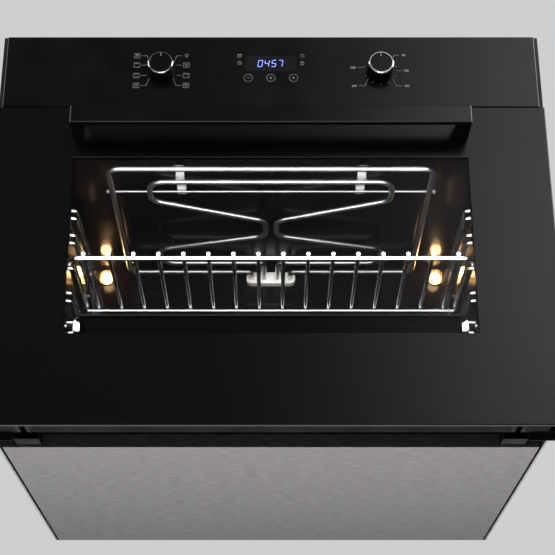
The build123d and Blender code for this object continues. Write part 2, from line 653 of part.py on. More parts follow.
def knob(x):
    """Slightly tapered knob with a shallow face and a bore for the spindle."""
    front = PANEL_SETBACK - KNOB_LENGTH
    back = PANEL_SETBACK - 0.6
    body = rod_d(x, front, back, KNOB_Z, KNOB_R)
    body = body - rod_d(x, front - 1, front + 2.5, KNOB_Z, KNOB_R - 0.8)
    body = body + rod_d(x, front + 0.8, front + 2.5, KNOB_Z, KNOB_R - 2.4)
    body = body - rod_d(x, SPINDLE_FRONT, back + 1, KNOB_Z, SPINDLE_R)
    return body - block(x - 0.7, x + 0.7, front + 0.2, front + 1.4, KNOB_Z + 6, KNOB_Z + KNOB_R - 2.5)


def knob_ring(x):
    """Bright ring let into the knob's front rim."""
    front = PANEL_SETBACK - KNOB_LENGTH
    ring = rod_d(x, front - 0.9, front + 2.5, KNOB_Z, KNOB_R - 0.8)
    ring = chamfer(ring.faces().sort_by(Axis.Y)[0].edges(), 0.8)
    return ring - rod_d(x, front - 2, front + 3, KNOB_Z, KNOB_R - 2.4)


# ---------------------------------------------------------------- door
PANE_HALF = HALF_FRONT - 1.5
PROFILE_IN = PANE_HALF - COLUMN_WIDTH
HINGE_X = PROFILE_IN - HINGE_INSET
CORE_FRONT = GLASS
CORE_BACK = DOOR_THICKNESS - GLASS
CASE_FRONT = CORE_FRONT + 3       # hinge bodies behind the lower rail's front wall
RAIL_TOP = DOOR_Z0 + 33
TRIM_BOTTOM = DOOR_Z1 - 13


def door_outer_glass():
    glass = block(-HALF_FRONT, HALF_FRONT, 0, GLASS, DOOR_Z0, DOOR_Z1)
    glass = chamfer(glass.faces().sort_by(Axis.Y)[0].edges(), 1.2)
    for x in (-HANDLE_SCREW_X, HANDLE_SCREW_X):
        z = (HANDLE_Z0 + HANDLE_Z1) / 2
        glass = glass - rod_d(x, -2, GLASS + 2, z, SCREW_R + SCREW_CLEARANCE)
    return glass


def door_middle_glass():
    mid = (CORE_FRONT + CORE_BACK) / 2
    return block(-PROFILE_IN - 6, PROFILE_IN + 6, mid - GLASS / 2, mid + GLASS / 2,
                 RAIL_TOP, TRIM_BOTTOM)


def door_inner_glass():
    return block(-PANE_HALF, PANE_HALF, CORE_BACK, DOOR_THICKNESS, RAIL_TOP, DOOR_Z1 - 1)


def door_side_profile():
    """Right-hand column with a groove for the middle pane."""
    bar = block(PROFILE_IN, PANE_HALF, CORE_FRONT, CORE_BACK, DOOR_Z0 + 3, TRIM_BOTTOM)
    mid = (CORE_FRONT + CORE_BACK) / 2
    groove = block(PROFILE_IN - 1, PROFILE_IN + 6 + TINY, mid - GLASS / 2 - TINY,
                   mid + GLASS / 2 + TINY, RAIL_TOP - 1, TRIM_BOTTOM + 1)
    core = block(PROFILE_IN + 9, PANE_HALF - 2, CORE_FRONT + 3, CORE_BACK - 3, DOOR_Z0 + 1,
                 TRIM_BOTTOM + 1)
    return bar - groove - core


def door_lower_rail():
    """Channel between the columns, notched for the two hinges."""
    rail = block(-PROFILE_IN, PROFILE_IN, CORE_FRONT, CORE_BACK, DOOR_Z0 + 3, RAIL_TOP)
    rail = rail - block(-PROFILE_IN + 30, PROFILE_IN - 30, CORE_FRONT + 3, CORE_BACK - 3,
                        DOOR_Z0 + 6, RAIL_TOP + 1)
    notch = HINGE_CASE_WIDTH / 2
    for x in (-HINGE_X, HINGE_X):
        rail = rail - block(x - notch, x + notch, CASE_FRONT, CORE_BACK + 1, 0, RAIL_TOP + 1)
    return rail


def door_upper_trim():
    trim = block(-PANE_HALF, PANE_HALF, CORE_FRONT, CORE_BACK, TRIM_BOTTOM, DOOR_Z1 - 1)
    trim = trim - block(-PANE_HALF + 3, PANE_HALF - 3, CORE_FRONT + 3, CORE_BACK - 3,
                        TRIM_BOTTOM - 1, DOOR_Z1 - 4)
    slots = [Pos(x, (CORE_FRONT + CORE_BACK) / 2, DOOR_Z1) * Box(18, 5, 12)
             for x in row(30, PANE_HALF - 40)]
    return trim - slots


def handle_bar():
    bar = block(-HANDLE_LENGTH / 2, HANDLE_LENGTH / 2, -HANDLE_REACH, -HANDLE_REACH + HANDLE_BAR,
                HANDLE_Z0, HANDLE_Z1)
    return chamfer(bar.faces().sort_by(Axis.Y)[0].edges(), 0.8)


def handle_support():
    """Right-hand support, narrower at the door than at the bar."""
    outer = HANDLE_LENGTH / 2
    near = -HANDLE_REACH + HANDLE_BAR
    outline = Polyline((outer, near), (outer - SUPPORT_WIDTH, near), (outer - SUPPORT_WIDTH + 5.3, 0),
                       (outer, 0), close=True)
    solid = extrude(Pos(0, 0, HANDLE_Z0) * make_face(outline), HANDLE_HEIGHT, dir=(0, 0, 1))
    z = (HANDLE_Z0 + HANDLE_Z1) / 2
    return solid - rod_d(HANDLE_SCREW_X, near + 8, 2, z, SCREW_R + SCREW_CLEARANCE / 3)


def handle_screw():
    z = (HANDLE_Z0 + HANDLE_Z1) / 2
    shank = rod_d(HANDLE_SCREW_X, -HANDLE_REACH + HANDLE_BAR + 10, GLASS + 1, z, SCREW_R)
    head = rod_d(HANDLE_SCREW_X, GLASS, GLASS + 3, z, 2 * SCREW_R)
    return shank + head


# ---------------------------------------------------------------- hinges
def hinge_case():
    """Right-hand hinge body inside the door: two cheeks and a web."""
    notch = HINGE_CASE_WIDTH / 2
    top = RAIL_TOP
    case = block(HINGE_X - notch, HINGE_X + notch, CASE_FRONT, CORE_BACK, DOOR_Z0 + 3, top)
    slot = HOOK_WIDTH / 2 + 1
    case = case - block(HINGE_X - slot, HINGE_X + slot, CASE_FRONT + 2, CORE_BACK + 1, 0, top - 3)
    return case - rod_x(HINGE_X - notch - 1, HINGE_X + notch + 1, HINGE_DEPTH, HINGE_HEIGHT,
                        HINGE_PIN_R)


def hinge_pin():
    notch = HINGE_CASE_WIDTH / 2
    return rod_x(HINGE_X - notch, HINGE_X + notch, HINGE_DEPTH, HINGE_HEIGHT, HINGE_PIN_R)


def hinge_hook():
    """Right-hand arm on the oven, round its front end and hooked into a bracket behind the flange."""
    half = HOOK_WIDTH / 2
    reach = 7.0
    back = FLANGE_D + BASE_SETBACK
    arm = block(HINGE_X - half, HINGE_X + half, HINGE_DEPTH, back, HINGE_HEIGHT - reach,
                HINGE_HEIGHT + reach)
    arm = arm + rod_x(HINGE_X - half, HINGE_X + half, HINGE_DEPTH, HINGE_HEIGHT, reach)
    arm = arm - rod_x(HINGE_X - half - 1, HINGE_X + half + 1, HINGE_DEPTH, HINGE_HEIGHT,
                      HINGE_PIN_R + HINGE_RUN)
    return arm


def hinge_bracket():
    """Right-hand bracket that ties the hinge arm to the casing and the front frame."""
    half = HOOK_WIDTH / 2
    back = FLANGE_D + BASE_SETBACK
    front = FRAME_BACK_D + 1
    inner = HINGE_X - 13
    outer = HINGE_X + 12
    bracket = block(inner, outer, front, back, CASING_SHEET + 1, HINGE_RECESS - 2)
    bracket = bracket - block(inner + 2, HINGE_X - half, front - 1, back - 2, CASING_SHEET + 3,
                              HINGE_RECESS - 4)
    bracket = bracket - block(HINGE_X - half, outer - 2, front - 1, back - 2, CASING_SHEET + 3,
                              HINGE_RECESS - 4)
    bracket = bracket - block(HINGE_X - half, HINGE_X + half, front - 1, back + 1,
                              HINGE_HEIGHT - 7, HINGE_HEIGHT + 7)
    side = block(outer, CASING_HALF - CASING_SHEET, back - 2, back, 16, HINGE_RECESS - 2)
    return bracket + side


# ---------------------------------------------------------------- supply
GLAND_D = BACK_D + TERMINAL_DEPTH / 2
TERMINAL_Z0 = GLAND_Z0 + GLAND_NUT


def terminal_box():
    wall = 2.0
    x0 = GLAND_X - TERMINAL_WIDTH / 2
    x1 = GLAND_X + TERMINAL_WIDTH / 2
    back = BACK_D + TERMINAL_DEPTH
    top = TERMINAL_Z0 + TERMINAL_HEIGHT
    box = block(x0, x1, BACK_D, back, TERMINAL_Z0, top)
    box = box - block(x0 + wall, x1 - wall, BACK_D - 1, back - wall, TERMINAL_Z0 + wall, top - wall)
    return box - rod_z(GLAND_X, GLAND_D, TERMINAL_Z0 - 1, TERMINAL_Z0 + wall + 1, GLAND_BORE_R + 3)


def cable_gland():
    nut = rod_z(GLAND_X, GLAND_D, GLAND_Z0, TERMINAL_Z0, GLAND_BORE_R + 5)
    sleeve = rod_z(GLAND_X, GLAND_D, TERMINAL_Z0, GLAND_Z0 + GLAND_LENGTH, GLAND_BORE_R + 2.8)
    bore = rod_z(GLAND_X, GLAND_D, GLAND_Z0 - 1, GLAND_Z0 + GLAND_LENGTH + 1, GLAND_BORE_R)
    return nut + sleeve - bore


# ---------------------------------------------------------------- write every node
save("base_plate", base_plate())
save("side_panels", *pair(side_panel()))
save("top_cover", top_cover())
save("back_panel", back_panel())
save("rear_cover", rear_cover())
save("mounting_flange", mounting_flange())
save("cavity_front_frame", cavity_front_frame())
save("door_seal", door_seal())
save("cavity_floor", cavity_floor())
save("cavity_ceiling", cavity_ceiling())
save("cavity_side_walls", *pair(cavity_side_wall()))
save("cavity_back_wall", cavity_back_wall())
save("insulation", *insulation())
save("top_element_outer", top_element_outer())
save("top_element_inner", top_element_inner())
save("element_mount_block", element_mount_block())
save("element_hangers", *pair(element_hanger()))
save("element_support_rod", element_support_rod())
save("bottom_element", bottom_element())
save("ring_element", ring_element())
save("lamp_holders", lamp_holder(-LAMP_X), lamp_holder(LAMP_X))
save("lamp_domes", lamp_dome(-LAMP_X), lamp_dome(LAMP_X))
save("lamp_bulbs", lamp_bulb(-LAMP_X), lamp_bulb(LAMP_X))
save("fan_cover", fan_cover())
save("convection_fan_wheel", convection_fan_wheel())
save("convection_motor", convection_motor())
save("cooling_fan_housing", cooling_fan_housing())
save("cooling_fan_wheel", cooling_fan_wheel())
save("cooling_fan_motor", cooling_fan_motor())
right_rack = side_rack()
save("right_side_rack", right_rack)
save("left_side_rack", mirrored(right_rack))
save("wire_shelf", wire_shelf())
save("baking_tray", baking_tray())
save("telescopic_rails", *pair(telescopic_rail()))
save("control_panel_glass", control_panel_glass())
save("control_panel_carrier", control_panel_carrier())
save("display_module", display_module())
save("control_board", control_board())
save("function_switch", rotary_switch(-KNOB_X, SWITCH_SIZE))
save("thermostat", rotary_switch(KNOB_X, THERMOSTAT_SIZE))
for dial, dial_x in (("function", -KNOB_X), ("temperature", KNOB_X)):
    save(dial + "_knob", knob(dial_x))
    save(dial + "_knob_ring", knob_ring(dial_x))
    save(dial + "_spindle", spindle(dial_x))
save("door_outer_glass", door_outer_glass())
save("door_middle_glass", door_middle_glass())
save("door_inner_glass", door_inner_glass())
save("door_side_profiles", *pair(door_side_profile()))
save("door_lower_rail", door_lower_rail())
save("door_upper_trim", door_upper_trim())
save("handle_bar", handle_bar())
save("handle_supports", *pair(handle_support()))
save("handle_screws", *pair(handle_screw()))
save("hinge_cases", *pair(hinge_case()))
save("hinge_pins", *pair(hinge_pin()))
save("hinge_brackets", *pair(hinge_bracket()), *pair(hinge_hook()))
save("terminal_box", terminal_box())
save("cable_gland", cable_gland())
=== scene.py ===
import json
import math
import bpy
import bmesh
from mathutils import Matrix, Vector


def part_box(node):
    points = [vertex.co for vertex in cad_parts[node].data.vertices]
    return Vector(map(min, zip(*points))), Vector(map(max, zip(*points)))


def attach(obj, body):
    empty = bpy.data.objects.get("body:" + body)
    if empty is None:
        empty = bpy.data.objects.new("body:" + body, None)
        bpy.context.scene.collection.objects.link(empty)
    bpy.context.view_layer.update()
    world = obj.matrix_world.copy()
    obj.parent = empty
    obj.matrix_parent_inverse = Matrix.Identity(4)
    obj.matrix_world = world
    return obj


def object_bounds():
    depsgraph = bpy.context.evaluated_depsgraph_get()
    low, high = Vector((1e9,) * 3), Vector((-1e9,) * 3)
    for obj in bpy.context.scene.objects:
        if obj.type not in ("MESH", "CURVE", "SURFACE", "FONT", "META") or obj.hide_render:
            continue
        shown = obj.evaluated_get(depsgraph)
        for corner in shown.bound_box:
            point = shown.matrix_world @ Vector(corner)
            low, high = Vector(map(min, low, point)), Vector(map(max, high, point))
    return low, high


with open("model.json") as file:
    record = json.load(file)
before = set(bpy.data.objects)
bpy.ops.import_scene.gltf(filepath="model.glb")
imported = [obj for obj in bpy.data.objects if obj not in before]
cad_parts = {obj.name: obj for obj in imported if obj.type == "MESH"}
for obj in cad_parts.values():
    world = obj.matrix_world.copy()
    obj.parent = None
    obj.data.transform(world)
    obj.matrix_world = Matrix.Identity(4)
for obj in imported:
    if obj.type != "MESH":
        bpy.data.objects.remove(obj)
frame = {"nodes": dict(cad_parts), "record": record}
NODES = frame["nodes"]
CAD_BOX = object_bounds()
MM = 0.001

# ---------------------------------------------------------------- places read from the frame
PANEL_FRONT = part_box("control_panel_glass")[0].y
DOOR_LOW, DOOR_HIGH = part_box("door_outer_glass")
FLOOR_LOW, FLOOR_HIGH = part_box("cavity_floor")
KNOB_CENTRES = {name: sum(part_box(name + "_knob"), Vector()) / 2 for name in ("function", "temperature")}
KNOB_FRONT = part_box("function_knob")[0].y
PRINT_Y = PANEL_FRONT - 0.05 * MM
DOOR_MID_X = (DOOR_LOW.x + DOOR_HIGH.x) / 2

# Clear window in the door's printed border, and the wider one in the inner pane.
WINDOW_HALF = 211 * MM
WINDOW_Z = (DOOR_LOW.z + 97 * MM, DOOR_HIGH.z - 62 * MM)
INNER_HALF = 240 * MM
INNER_Z = (DOOR_LOW.z + 70 * MM, DOOR_HIGH.z - 22 * MM)

# Sockets of a map range node and of a colour mix node, by their number.
FROM_LOW, FROM_HIGH, TO_LOW, TO_HIGH = 1, 2, 3, 4
MIX_LOW, MIX_HIGH, MIX_RESULT = 6, 7, 2


# ---------------------------------------------------------------- node helpers
def tree_of(name):
    """A new material with its node tree and its Principled shader."""
    material = bpy.data.materials.new(name)
    material.use_nodes = True
    tree = material.node_tree
    return material, tree, tree.nodes["Principled BSDF"]


def node(tree, kind, **settings):
    """A new node of the kind, with its settings."""
    made = tree.nodes.new(kind)
    for name, value in settings.items():
        setattr(made, name, value)
    return made


def math_node(tree, operation, first, second):
    """Math node; each of first and second is a socket or a number."""
    made = node(tree, "ShaderNodeMath", operation=operation)
    for socket, value in zip(made.inputs, (first, second)):
        if isinstance(value, (int, float)):
            socket.default_value = value
        else:
            tree.links.new(value, socket)
    return made.outputs[0]


def group(name, inputs, outputs):
    """Empty node group with float inputs {name: default} and the named float outputs."""
    tree = bpy.data.node_groups.new(name, "ShaderNodeTree")
    for label, value in inputs.items():
        socket = tree.interface.new_socket(name=label, in_out="INPUT", socket_type="NodeSocketFloat")
        socket.default_value = value
    for label in outputs:
        tree.interface.new_socket(name=label, in_out="OUTPUT", socket_type="NodeSocketFloat")
    return tree, tree.nodes.new("NodeGroupInput"), tree.nodes.new("NodeGroupOutput")


def use(tree, grouped, **values):
    """A shared effect as a node, with its inputs set; an underscore stands for a space."""
    made = node(tree, "ShaderNodeGroup", node_tree=grouped)
    for label, value in values.items():
        made.inputs[label.replace("_", " ")].default_value = value
    return made


def blend_colours(tree, factor, low, high):
    """Colour between low and high by factor."""
    mix = node(tree, "ShaderNodeMix", data_type="RGBA")
    tree.links.new(factor, mix.inputs[0])
    mix.inputs[MIX_LOW].default_value = (*low, 1)
    mix.inputs[MIX_HIGH].default_value = (*high, 1)
    return mix.outputs[MIX_RESULT]


def spread(tree, value, low, high):
    """Value from 0..1 spread over low..high."""
    ranged = node(tree, "ShaderNodeMapRange")
    tree.links.new(value, ranged.inputs[0])
    ranged.inputs[TO_LOW].default_value = low
    ranged.inputs[TO_HIGH].default_value = high
    return ranged.outputs[0]


def relief(tree, shader, height, distance):
    """Bump from a height of 0..1; distance is the full height in metres."""
    bump = node(tree, "ShaderNodeBump")
    bump.inputs["Strength"].default_value = 1.0
    bump.inputs["Distance"].default_value = distance
    tree.links.new(height, bump.inputs["Height"])
    tree.links.new(bump.outputs[0], shader.inputs["Normal"])


def object_xyz(tree):
    """The three object coordinates as separate sockets."""
    place = node(tree, "ShaderNodeTexCoord")
    split = node(tree, "ShaderNodeSeparateXYZ")
    tree.links.new(place.outputs["Object"], split.inputs[0])
    return split.outputs


# ---------------------------------------------------------------- shared effects
def brushed_grain():
    """Long fine streaks: Along and Across are streaks per metre with the grain and across it."""
    tree, given, out = group("brushed_grain", {"Along X": 8.0, "Across Y": 900.0, "Across Z": 900.0},
                             ["Grain"])
    xyz = object_xyz(tree)
    point = node(tree, "ShaderNodeCombineXYZ")
    for axis in range(3):
        scaled = math_node(tree, "MULTIPLY", xyz[axis], given.outputs[axis])
        tree.links.new(scaled, point.inputs[axis])
    noise = node(tree, "ShaderNodeTexNoise")
    noise.inputs["Scale"].default_value = 1.0
    noise.inputs["Detail"].default_value = 4.0
    tree.links.new(point.outputs[0], noise.inputs["Vector"])
    tree.links.new(noise.outputs[0], out.inputs["Grain"])
    return tree


def handling_marks():
    """Soft smudges: Size is smudges per metre; gives a value between Low and High."""
    tree, given, out = group("handling_marks", {"Size": 20.0, "Low": 0.1, "High": 0.2}, ["Rough"])
    place = node(tree, "ShaderNodeTexCoord")
    noise = node(tree, "ShaderNodeTexNoise")
    noise.inputs["Detail"].default_value = 5.0
    tree.links.new(place.outputs["Object"], noise.inputs["Vector"])
    tree.links.new(given.outputs["Size"], noise.inputs["Scale"])
    ranged = node(tree, "ShaderNodeMapRange")
    ranged.inputs[FROM_LOW].default_value = 0.35
    ranged.inputs[FROM_HIGH].default_value = 0.65
    tree.links.new(noise.outputs[0], ranged.inputs[0])
    tree.links.new(given.outputs["Low"], ranged.inputs[TO_LOW])
    tree.links.new(given.outputs["High"], ranged.inputs[TO_HIGH])
    tree.links.new(ranged.outputs[0], out.inputs["Rough"])
    return tree


def fine_texture():
    """Moulded or sprayed grain: Scale is grains per metre."""
    tree, given, out = group("fine_texture", {"Scale": 900.0}, ["Height"])
    place = node(tree, "ShaderNodeTexCoord")
    noise = node(tree, "ShaderNodeTexNoise")
    noise.inputs["Detail"].default_value = 3.0
    tree.links.new(place.outputs["Object"], noise.inputs["Vector"])
    tree.links.new(given.outputs["Scale"], noise.inputs["Scale"])
    tree.links.new(noise.outputs[0], out.inputs["Height"])
    return tree


def pale_flecks():
    """Small round flecks, as in stove enamel: Scale is cells per metre, Share is a fleck's radius."""
    tree, given, out = group("pale_flecks", {"Scale": 260.0, "Share": 0.12}, ["Mask"])
    place = node(tree, "ShaderNodeTexCoord")
    cells = node(tree, "ShaderNodeTexVoronoi")
    tree.links.new(place.outputs["Object"], cells.inputs["Vector"])
    tree.links.new(given.outputs["Scale"], cells.inputs["Scale"])
    inside = math_node(tree, "LESS_THAN", cells.outputs["Distance"], given.outputs["Share"])
    tree.links.new(inside, out.inputs["Mask"])
    return tree


def window_mask():
    """1 on the printed border and 0 inside a rectangular window in the XZ plane."""
    tree, given, out = group("window_mask", {"Half": 0.2, "Low": 0.1, "High": 0.3}, ["Border"])
    xyz = object_xyz(tree)
    side = math_node(tree, "GREATER_THAN", math_node(tree, "ABSOLUTE", xyz[0], 0.0), given.outputs["Half"])
    under = math_node(tree, "LESS_THAN", xyz[2], given.outputs["Low"])
    over = math_node(tree, "GREATER_THAN", xyz[2], given.outputs["High"])
    border = math_node(tree, "MAXIMUM", math_node(tree, "MAXIMUM", side, under), over)
    tree.links.new(border, out.inputs["Border"])
    return tree


BRUSHED = brushed_grain()
MARKS = handling_marks()
GRAIN = fine_texture()
FLECKS = pale_flecks()
WINDOW = window_mask()


# ---------------------------------------------------------------- materials
def set_plain(shader, **values):
    """Constants straight on the shader's own sockets."""
    for label, value in values.items():
        shader.inputs[label.replace("_", " ")].default_value = value


def marked(tree, shader, size, low, high):
    """Roughness with smudges."""
    tree.links.new(use(tree, MARKS, Size=size, Low=low, High=high).outputs[0], shader.inputs["Roughness"])


def brushed_steel(name, low, high, rough, streaks=(6.0, 1400.0, 1400.0)):
    """Steel between two tones; streaks per metre along X, Y and Z, few of them along the grain."""
    material, tree, shader = tree_of(name)
    grain = use(tree, BRUSHED, Along_X=streaks[0], Across_Y=streaks[1], Across_Z=streaks[2]).outputs["Grain"]
    tone = spread(tree, grain, -0.6, 1.6)
    tree.links.new(blend_colours(tree, tone, low, high), shader.inputs["Base Color"])
    tree.links.new(spread(tree, grain, rough - 0.08, rough + 0.10), shader.inputs["Roughness"])
    set_plain(shader, Metallic=1.0)
    relief(tree, shader, grain, 0.02 * MM)
    return material


def galvanised_sheet():
    """Zinc-coated sheet: grey spangles, each with its own tone and gloss."""
    material, tree, shader = tree_of("galvanised_sheet")
    place = node(tree, "ShaderNodeTexCoord")
    cells = node(tree, "ShaderNodeTexVoronoi")
    cells.inputs["Scale"].default_value = 120.0
    tree.links.new(place.outputs["Object"], cells.inputs["Vector"])
    split = node(tree, "ShaderNodeSeparateColor")
    tree.links.new(cells.outputs["Color"], split.inputs[0])
    tree.links.new(blend_colours(tree, split.outputs[0], (0.44, 0.45, 0.46), (0.53, 0.54, 0.55)),
                   shader.inputs["Base Color"])
    tree.links.new(spread(tree, split.outputs[1], 0.36, 0.46), shader.inputs["Roughness"])
    set_plain(shader, Metallic=1.0)
    relief(tree, shader, use(tree, GRAIN, Scale=300.0).outputs[0], 0.03 * MM)
    return material


def polished(name, colour, rough_low, rough_high, mark_size=60.0):
    """Chrome plating or bright drawn tube, with faint handling marks."""
    material, tree, shader = tree_of(name)
    marks = use(tree, MARKS, Size=mark_size, Low=0.0, High=1.0).outputs[0]
    dim = tuple(c * 0.86 for c in colour)
    tree.links.new(blend_colours(tree, marks, dim, colour), shader.inputs["Base Color"])
    tree.links.new(spread(tree, marks, rough_low, rough_high), shader.inputs["Roughness"])
    set_plain(shader, Metallic=1.0)
    relief(tree, shader, use(tree, GRAIN, Scale=1500.0).outputs[0], 0.004 * MM)
    return material


def dark_coat(name, colour, rough_low, rough_high, grain_scale=1600.0, depth=0.01, ior=1.5):
    """Black paint or moulded plastic with a fine surface grain."""
    material, tree, shader = tree_of(name)
    marks = use(tree, MARKS, Size=25.0, Low=0.0, High=1.0).outputs[0]
    light = tuple(c * 1.6 for c in colour)
    tree.links.new(blend_colours(tree, marks, colour, light), shader.inputs["Base Color"])
    tree.links.new(spread(tree, marks, rough_low, rough_high), shader.inputs["Roughness"])
    set_plain(shader, IOR=ior)
    relief(tree, shader, use(tree, GRAIN, Scale=grain_scale).outputs[0], depth * MM)
    return material


def stove_enamel():
    """Glossy near-black enamel with small pale flecks and slight waves."""
    material, tree, shader = tree_of("stove_enamel")
    flecks = use(tree, FLECKS, Scale=230.0, Share=0.07).outputs[0]
    tree.links.new(blend_colours(tree, flecks, (0.006, 0.0045, 0.0055), (0.035, 0.034, 0.036)),
                   shader.inputs["Base Color"])
    marked(tree, shader, 14.0, 0.14, 0.21)
    set_plain(shader, IOR=1.22)
    relief(tree, shader, use(tree, GRAIN, Scale=60.0).outputs[0], 0.03 * MM)
    return material


def printed_glass(name, half, heights, clear_alpha):
    """Black-printed pane with a clear window, and paler edges: the ground glass's own tone, with a painted
    highlight of the lit bevel in that pale band too.
    """
    material, tree, shader = tree_of(name)
    border = use(tree, WINDOW, Half=half, Low=heights[0], High=heights[1]).outputs[0]
    # Pale band along the pane's edges: ground glass tone plus a painted highlight standing in for the bevel
    # catching the light.
    ground_edge_and_highlight_width = 0.7 * MM
    rim = use(tree, WINDOW, Half=DOOR_HIGH.x - 0.9 * MM, Low=DOOR_LOW.z + ground_edge_and_highlight_width,
              High=DOOR_HIGH.z - ground_edge_and_highlight_width).outputs[0]
    tree.links.new(blend_colours(tree, rim, (0.004, 0.004, 0.0045), (0.02, 0.02, 0.021)),
                   shader.inputs["Base Color"])
    tree.links.new(spread(tree, border, clear_alpha, 1.0), shader.inputs["Alpha"])
    marks = use(tree, MARKS, Size=9.0, Low=0.0, High=0.05).outputs[0]
    tree.links.new(math_node(tree, "ADD", spread(tree, border, 0.03, 0.2), marks), shader.inputs["Roughness"])
    set_plain(shader, IOR=1.36)
    return material


def plain_glass(name, alpha, colour=(0.02, 0.022, 0.022)):
    """Clear glass, seen through by its alpha."""
    material, tree, shader = tree_of(name)
    marked(tree, shader, 12.0, 0.02, 0.06)
    set_plain(shader, Base_Color=(*colour, 1), Alpha=alpha, IOR=1.5)
    return material


def glowing(name, colour, strength):
    """Lit surface with a slightly uneven glow."""
    material, tree, shader = tree_of(name)
    flicker = use(tree, MARKS, Size=400.0, Low=0.85, High=1.0).outputs[0]
    dim = tuple(c * 0.85 for c in colour)
    tree.links.new(blend_colours(tree, flicker, dim, colour), shader.inputs["Emission Color"])
    set_plain(shader, Base_Color=(*(c * 0.3 for c in colour), 1), Emission_Strength=strength, Roughness=0.5)
    return material


def flat_paint_with_painted_glow(name, colour, glow):
    """Flat pale paint, slightly uneven, with a painted glow: emission that makes it brighter than the light
    on it would. Used for the screen-printed ink and for a painted highlight line.
    """
    material, tree, shader = tree_of(name)
    marks = use(tree, MARKS, Size=600.0, Low=0.0, High=1.0).outputs[0]
    tree.links.new(blend_colours(tree, marks, tuple(c * 0.9 for c in colour), colour),
                   shader.inputs["Base Color"])
    # The emission is a painted glow; this paint is no lamp.
    set_plain(shader, Roughness=0.45, Emission_Color=(*colour, 1), Emission_Strength=glow)
    return material


def mineral_wool():
    """Yellow-grey fibres."""
    material, tree, shader = tree_of("mineral_wool")
    fibre = use(tree, BRUSHED, Along_X=260.0, Across_Y=90.0, Across_Z=420.0).outputs["Grain"]
    tree.links.new(blend_colours(tree, fibre, (0.36, 0.31, 0.20), (0.66, 0.61, 0.47)),
                   shader.inputs["Base Color"])
    set_plain(shader, Roughness=0.95)
    relief(tree, shader, fibre, 1.2 * MM)
    return material


def fired_ceramic():
    """Matt white ceramic."""
    material, tree, shader = tree_of("fired_ceramic")
    marks = use(tree, MARKS, Size=120.0, Low=0.0, High=1.0).outputs[0]
    tree.links.new(blend_colours(tree, marks, (0.66, 0.64, 0.60), (0.83, 0.82, 0.79)),
                   shader.inputs["Base Color"])
    set_plain(shader, Roughness=0.5)
    relief(tree, shader, use(tree, GRAIN, Scale=2200.0).outputs[0], 0.02 * MM)
    return material


def circuit_board():
    """Green board with lighter tracks."""
    material, tree, shader = tree_of("circuit_board")
    tracks = use(tree, BRUSHED, Along_X=120.0, Across_Y=40.0, Across_Z=900.0).outputs["Grain"]
    tree.links.new(blend_colours(tree, tracks, (0.01, 0.09, 0.035), (0.03, 0.2, 0.08)),
                   shader.inputs["Base Color"])
    set_plain(shader, Roughness=0.35)
    relief(tree, shader, tracks, 0.05 * MM)
    return material


FINISHES = {
    "brushed_base": brushed_steel("brushed_base", (0.13, 0.12, 0.13), (0.48, 0.45, 0.48), 0.36,
                                  (70.0, 1300.0, 1300.0)),
    "casing_steel": galvanised_sheet(),
    "black_frame": dark_coat("black_frame", (0.006, 0.006, 0.006), 0.35, 0.5, ior=1.15),
    "cavity_enamel": stove_enamel(),
    "clear_glass": plain_glass("clear_pane", 0.07),
    "chrome_wire": polished("chrome_wire", (0.86, 0.86, 0.87), 0.06, 0.16),
    "element_steel": polished("drawn_tube", (0.68, 0.67, 0.67), 0.30, 0.40, 30.0),
    "white_ceramic": fired_ceramic(),
    "lamp_glass": plain_glass("lamp_glass", 0.25, (0.9, 0.75, 0.5)),
    "lamp_filament": glowing("lamp_glow", (1.0, 0.58, 0.20), 26.0),
    "seal_rubber": dark_coat("seal_rubber", (0.018, 0.018, 0.018), 0.6, 0.8, 900.0, 0.05),
    "mineral_wool": mineral_wool(),
    "black_plastic": dark_coat("moulded_black", (0.012, 0.012, 0.013), 0.38, 0.52, 2600.0, 0.02),
    "knob_black": dark_coat("knob_black", (0.004, 0.004, 0.0042), 0.16, 0.24, 3000.0, 0.003, 1.35),
    "display_black": dark_coat("display_filter", (0.009, 0.009, 0.012), 0.16, 0.22, 1500.0, 0.002),
    "circuit_board": circuit_board(),
    "handle_black": dark_coat("handle_black", (0.004, 0.004, 0.0042), 0.14, 0.2, 2600.0, 0.002, 1.4),
    "door_aluminium": dark_coat("anodised_black", (0.005, 0.005, 0.005), 0.45, 0.6, 2600.0, 0.01, 1.12),
    "motor_steel": brushed_steel("motor_steel", (0.28, 0.28, 0.29), (0.5, 0.5, 0.51), 0.4),
    "hinge_steel": brushed_steel("plated_steel", (0.36, 0.36, 0.36), (0.62, 0.61, 0.58), 0.34,
                                 (500.0, 500.0, 500.0)),
    "screw_steel": brushed_steel("screw_steel", (0.36, 0.36, 0.36), (0.62, 0.61, 0.58), 0.3,
                                 (900.0, 900.0, 900.0)),
    "fan_steel": brushed_steel("fan_steel", (0.42, 0.42, 0.43), (0.64, 0.64, 0.65), 0.32),
}
OWN_FINISHES = {
    "door_outer_glass": printed_glass("door_front_pane", WINDOW_HALF, WINDOW_Z, 0.10),
    "door_inner_glass": printed_glass("door_inner_pane", INNER_HALF, INNER_Z, 0.06),
    "control_panel_glass": dark_coat("panel_glass", (0.0042, 0.004, 0.0043), 0.20, 0.25, 60.0, 0.0, 1.36),
}
# Pale screen print; its emission of 0.24 is a painted glow.
INK_WITH_PAINTED_GLOW = flat_paint_with_painted_glow("panel_print", (0.58, 0.58, 0.59), 0.24)
# Painted highlight of the window's top glass edge, drawn as a faint glowing line.
PAINTED_EDGE_HIGHLIGHT = flat_paint_with_painted_glow("window_edge_painted_highlight", (0.05, 0.05, 0.052), 0.03)
DIGIT_GLOW = glowing("digit_glow", (0.24, 0.33, 1.0), 2.4)


